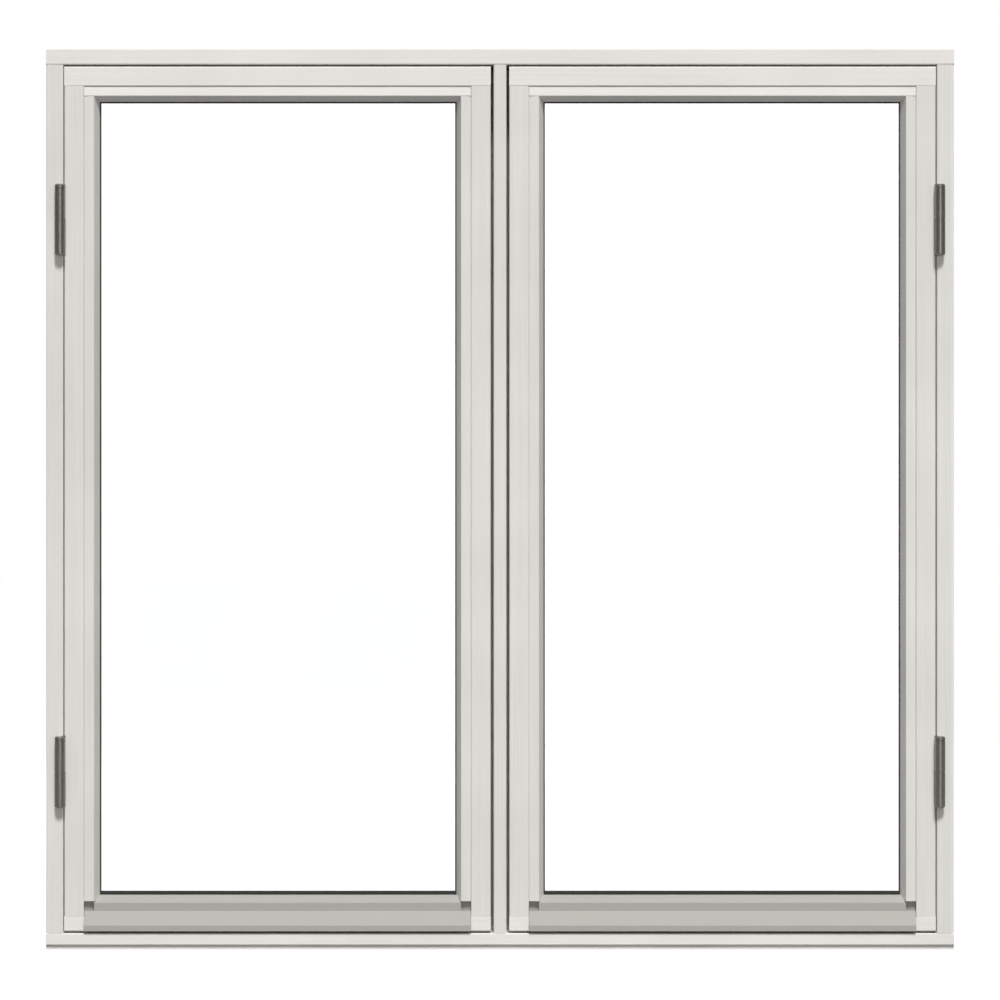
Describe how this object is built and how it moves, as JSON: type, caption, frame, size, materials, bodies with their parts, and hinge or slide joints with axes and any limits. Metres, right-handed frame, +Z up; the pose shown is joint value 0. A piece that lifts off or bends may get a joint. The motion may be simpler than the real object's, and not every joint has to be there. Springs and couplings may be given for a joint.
{
  "type": "side-hung casement window",
  "caption": "White painted timber casement window with outward-opening side-hung lights on pin hinges, splayed glazing beads and an aluminium drip bead under each sealed glass unit.",
  "frame": {"origin": "centre of the sill's flat underside, at mid width and mid depth of the outer frame", "axes": "X runs to the right as seen from outside, Y from the outside to the room, Z up"},
  "size_m": [1.18, 0.1185, 1.17],
  "materials": {
    "white_painted_timber": "satin white paint",
    "anodised_aluminium": "matte anodised",
    "zinc_plated_steel": "dull zinc",
    "clear_glass": "polished",
    "spacer_aluminium": "mill",
    "black_gasket_rubber": "matte",
    "satin_chrome": "satin"
  },
  "bodies": {
    "root": {"frame_head": "white_painted_timber", "frame_left_jamb": "white_painted_timber", "frame_mullion": "white_painted_timber", "frame_right_jamb": "white_painted_timber", "frame_sill": "white_painted_timber", "left_drip_bead": "anodised_aluminium", "left_glazing_gaskets": "black_gasket_rubber", "left_handle_lever": "satin_chrome", "left_handle_rose": "satin_chrome", "left_hinge_side_bead": "white_painted_timber", "left_inner_pane": "clear_glass", "left_lock_side_bead": "white_painted_timber", "left_lower_hinge_frame_half": "zinc_plated_steel", "left_lower_hinge_sash_half": "zinc_plated_steel", "left_outer_pane": "clear_glass", "left_sash_bottom_rail": "white_painted_timber", "left_sash_hinge_stile": "white_painted_timber", "left_sash_lock_stile": "white_painted_timber", "left_sash_top_rail": "white_painted_timber", "left_spacer_bar": "spacer_aluminium", "left_top_bead": "white_painted_timber", "left_upper_hinge_frame_half": "zinc_plated_steel", "left_upper_hinge_sash_half": "zinc_plated_steel", "left_weather_seal": "black_gasket_rubber", "right_drip_bead": "anodised_aluminium", "right_glazing_gaskets": "black_gasket_rubber", "right_handle_lever": "satin_chrome", "right_handle_rose": "satin_chrome", "right_hinge_side_bead": "white_painted_timber", "right_inner_pane": "clear_glass", "right_lock_side_bead": "white_painted_timber", "right_lower_hinge_frame_half": "zinc_plated_steel", "right_lower_hinge_sash_half": "zinc_plated_steel", "right_outer_pane": "clear_glass", "right_sash_bottom_rail": "white_painted_timber", "right_sash_hinge_stile": "white_painted_timber", "right_sash_lock_stile": "white_painted_timber", "right_sash_top_rail": "white_painted_timber", "right_spacer_bar": "spacer_aluminium", "right_top_bead": "white_painted_timber", "right_upper_hinge_frame_half": "zinc_plated_steel", "right_upper_hinge_sash_half": "zinc_plated_steel", "right_weather_seal": "black_gasket_rubber"}
  },
  "joints": []
}
